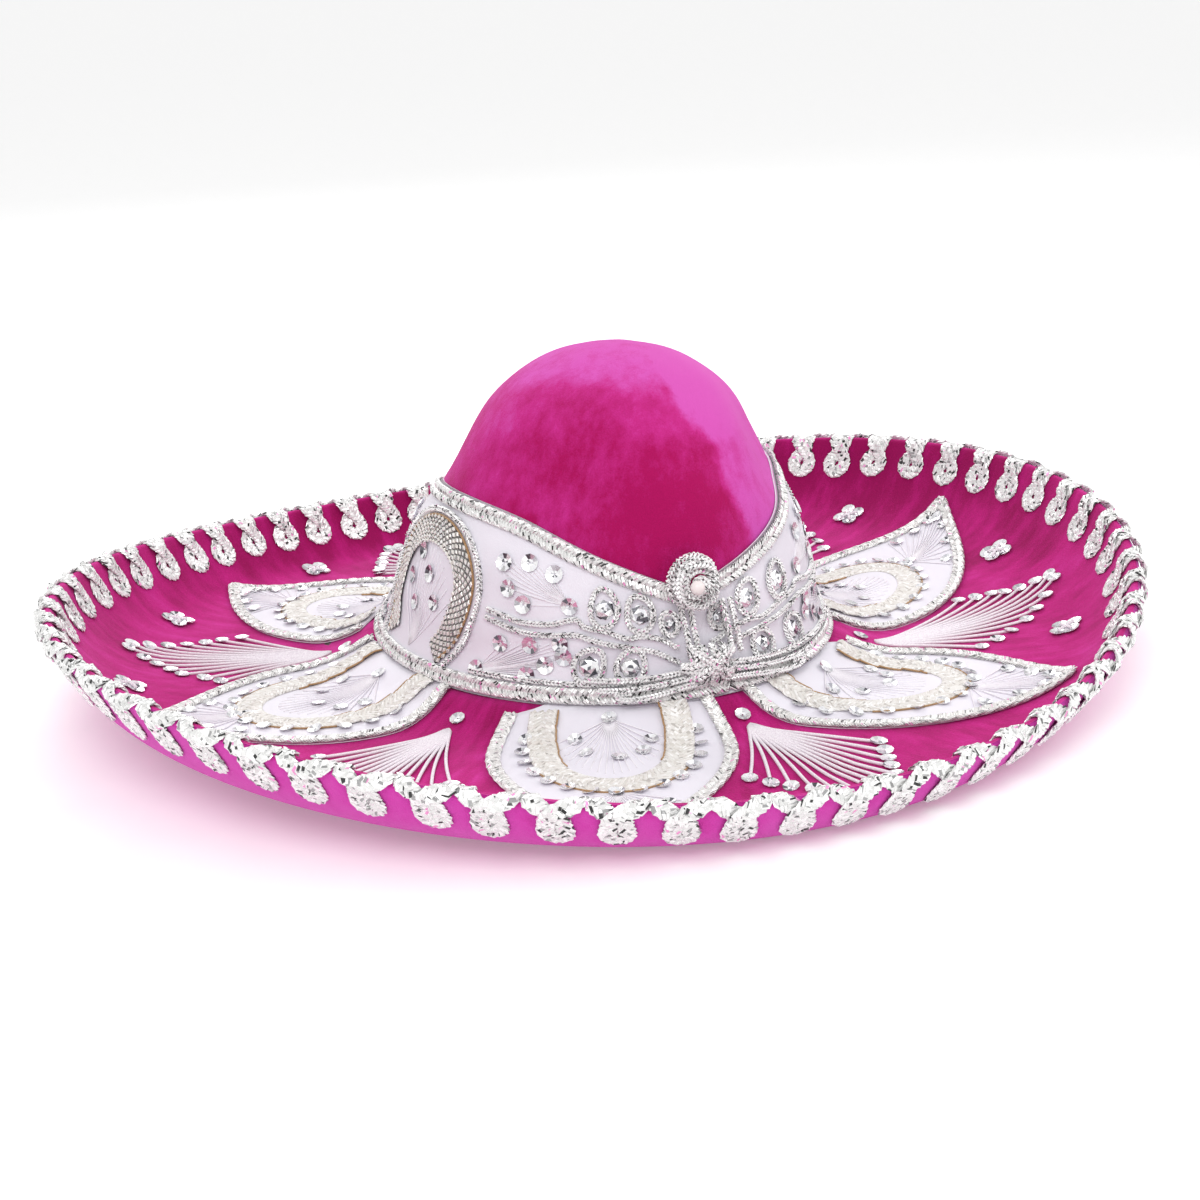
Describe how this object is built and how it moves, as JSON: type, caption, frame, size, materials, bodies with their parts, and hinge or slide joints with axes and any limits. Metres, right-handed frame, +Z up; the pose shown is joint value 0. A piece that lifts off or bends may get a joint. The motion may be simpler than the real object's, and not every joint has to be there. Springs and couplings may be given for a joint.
{
  "type": "sombrero",
  "caption": "Wide-brimmed velvet sombrero with a pinched crown, a satin band, silver braid laced over the rim, and satin petals and thread fans embroidered on the brim.",
  "frame": {"origin": "on the resting plane, under the middle of the hat", "axes": "+X to the wearer's left, -Y to the front of the hat, +Z up"},
  "size_m": [0.5652, 0.5327, 0.1692],
  "materials": {
    "velvet": "magenta cotton velvet, short pile with a light bloom at grazing angles",
    "satin": "lilac white satin, semi-gloss",
    "silver_braid": "braid plaited from flat metallised silver strands, glittering",
    "woven_trim": "openwork woven trim in oyster and silver with a gold-brown edge thread",
    "thread": "thick white embroidery thread, satin stitch",
    "stiff_felt": "stiffened wool felt",
    "steel_wire": "bare spring steel",
    "sweatband_leather": "thin smooth black leather",
    "lining": "white satin lining"
  },
  "bodies": {
    "root": {"arch_cord_left": "silver_braid", "arch_cord_right": "silver_braid", "arch_trim_left": "woven_trim", "arch_trim_right": "woven_trim", "band_foot_braid": "silver_braid", "band_panel": "satin", "band_top_braid": "silver_braid", "brim_body": "stiff_felt", "brim_velvet_top": "velvet", "brim_velvet_under": "velvet", "crown_body": "stiff_felt", "crown_lining": "lining", "crown_velvet": "velvet", "fan_stitching_back": "thread", "fan_stitching_back_left": "thread", "fan_stitching_back_right": "thread", "fan_stitching_front": "thread", "fan_stitching_front_left": "thread", "fan_stitching_front_right": "thread", "foot_cord_left": "silver_braid", "foot_cord_right": "silver_braid", "front_knot": "silver_braid", "front_rosette": "silver_braid", "petal_braid_back_left": "silver_braid", "petal_braid_back_right": "silver_braid", "petal_braid_front_left": "silver_braid", "petal_braid_front_right": "silver_braid", "petal_braid_left": "silver_braid", "petal_braid_right": "silver_braid", "petal_horseshoe_back_left": "woven_trim", "petal_horseshoe_back_right": "woven_trim", "petal_horseshoe_front_left": "woven_trim", "petal_horseshoe_front_right": "woven_trim", "petal_horseshoe_left": "woven_trim", "petal_horseshoe_right": "woven_trim", "petal_satin_back_left": "satin", "petal_satin_back_right": "satin", "petal_satin_front_left": "satin", "petal_satin_front_right": "satin", "petal_satin_left": "satin", "petal_satin_right": "satin", "rim_braid": "silver_braid", "rim_wire": "steel_wire", "scroll_lower_front_left": "silver_braid", "scroll_lower_front_right": "silver_braid", "scroll_lower_rear_left": "silver_braid", "scroll_lower_rear_right": "silver_braid", "scroll_upper_front_left": "silver_braid", "scroll_upper_front_right": "silver_braid", "scroll_upper_rear_left": "silver_braid", "scroll_upper_rear_right": "silver_braid", "sweatband": "sweatband_leather", "tie_cord_left": "silver_braid", "tie_cord_right": "silver_braid"}
  },
  "joints": []
}
